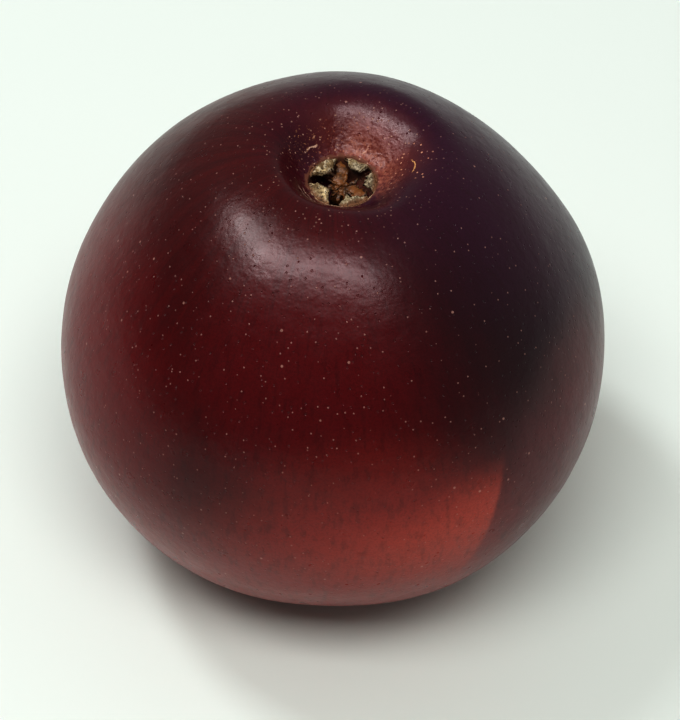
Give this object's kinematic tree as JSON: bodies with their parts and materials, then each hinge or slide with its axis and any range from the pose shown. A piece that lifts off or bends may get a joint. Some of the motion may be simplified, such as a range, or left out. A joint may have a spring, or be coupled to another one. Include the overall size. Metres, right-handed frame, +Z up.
{
  "type": "apple",
  "caption": "Whole round apple standing on its stem end, with the dried blossom eye in a shallow basin on top and a short stem in the cavity below.",
  "frame": {"origin": "on the resting plane, under the middle of the fruit's bounding box", "axes": "+Z up through the core towards the blossom end, +X to the right and -Y towards the viewer who faces the fruit"},
  "size_m": [0.075, 0.075, 0.065],
  "materials": {
    "skin": "waxy satin skin",
    "stem_wood": "dry bark",
    "dry_stamens": "dry and papery",
    "dry_sepal": "dry and corky"
  },
  "bodies": {
    "root": {"fruit": "skin", "stem": "stem_wood", "stamen_tuft": "dry_stamens", "sepal_1": "dry_sepal", "sepal_2": "dry_sepal", "sepal_3": "dry_sepal", "sepal_4": "dry_sepal", "sepal_5": "dry_sepal"}
  },
  "joints": []
}
